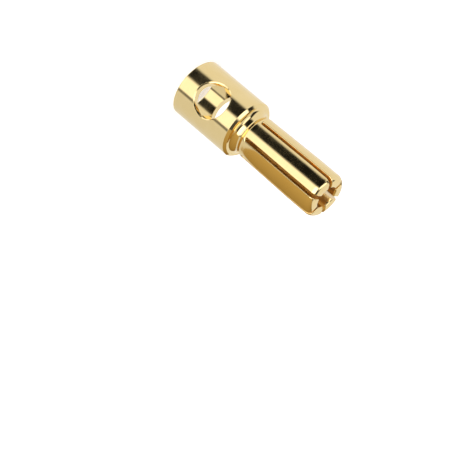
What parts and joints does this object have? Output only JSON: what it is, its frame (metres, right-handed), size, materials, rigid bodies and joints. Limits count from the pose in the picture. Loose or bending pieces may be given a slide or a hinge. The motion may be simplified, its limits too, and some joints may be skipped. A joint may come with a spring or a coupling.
{
  "type": "bullet plug connector",
  "caption": "Gold-plated bullet plug for a battery lead: a solder cup with a cross hole, a short neck and a slotted pin with sprung fingers.",
  "frame": {"origin": "centre of the solder cup's mouth, at the plug's lower end", "axes": "+Z along the plug's axis from the cup's mouth to the pin's tip, and Y along the cross hole"},
  "size_m": [0.0054, 0.0054, 0.0161],
  "materials": {
    "gold_plate": "polished gold plate over turned brass"
  },
  "bodies": {
    "root": {"connector_body": "gold_plate"}
  },
  "joints": []
}
